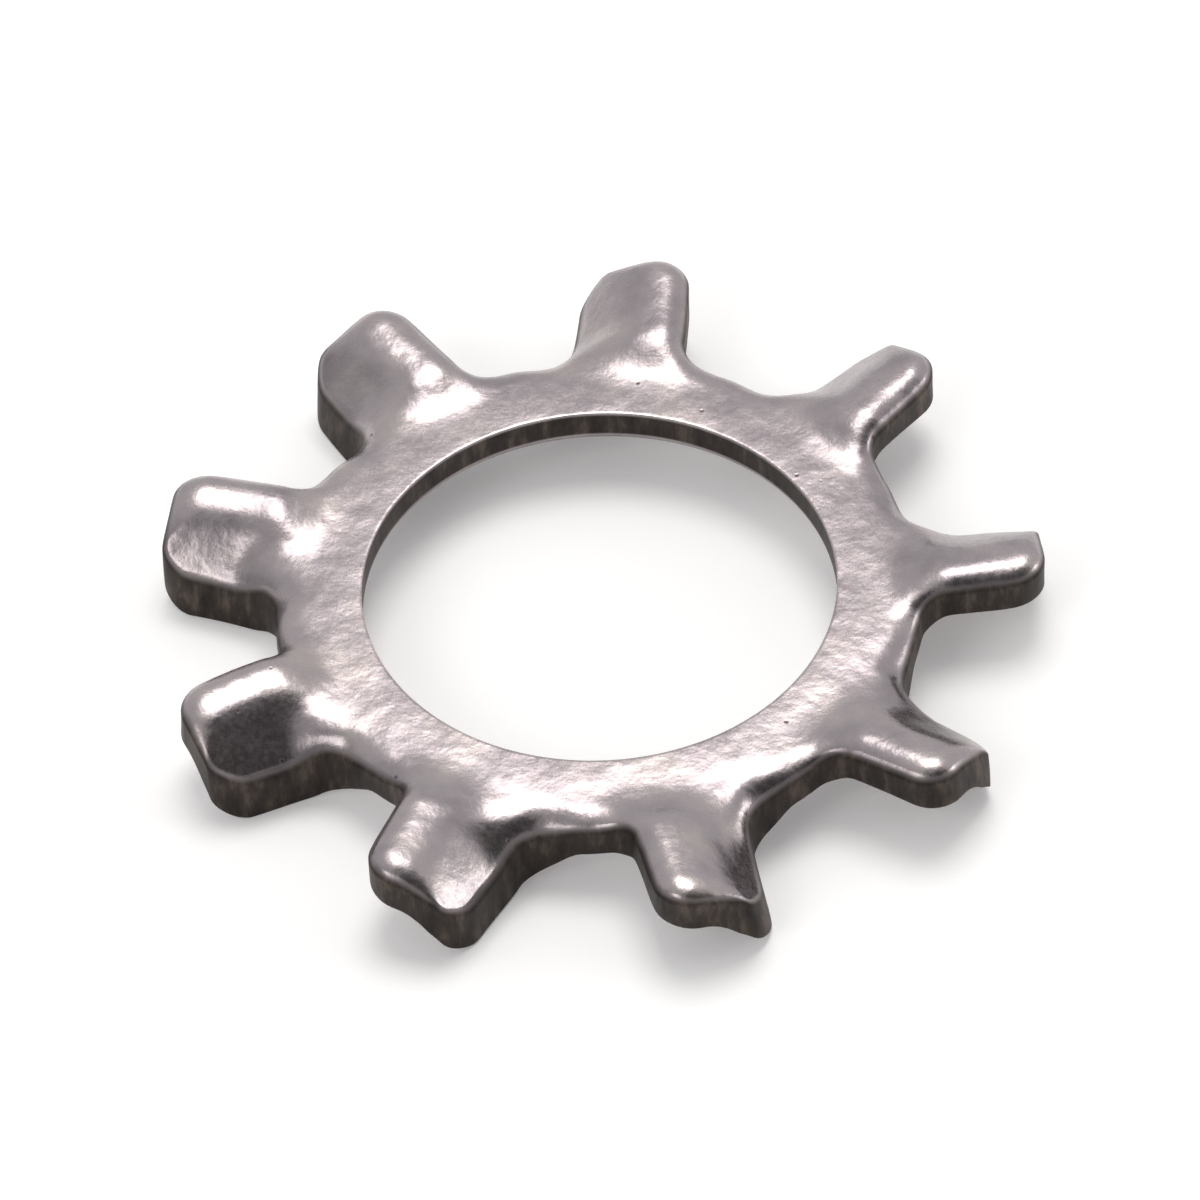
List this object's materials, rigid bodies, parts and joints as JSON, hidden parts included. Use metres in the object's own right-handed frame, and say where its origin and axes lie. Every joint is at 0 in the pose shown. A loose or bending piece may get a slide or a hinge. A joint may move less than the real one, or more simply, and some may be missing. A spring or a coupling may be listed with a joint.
{
  "type": "toothed lock washer",
  "caption": "Flat ring with a round bore and short external teeth, each twisted out of the ring's plane so that its edges bite under a screw head or nut.",
  "frame": {"origin": "on the bore axis, half way through the thickness of the flat ring", "axes": "+Z along the bore axis, out of the side with rolled-over edges; +X along the middle of one tooth; the burr side faces -Z"},
  "size_m": [0.0124, 0.0125, 0.0014],
  "materials": {
    "steel": "tumbled stainless steel, satin with fine pitting"
  },
  "bodies": {
    "root": {"lock_washer": "steel"}
  },
  "joints": []
}
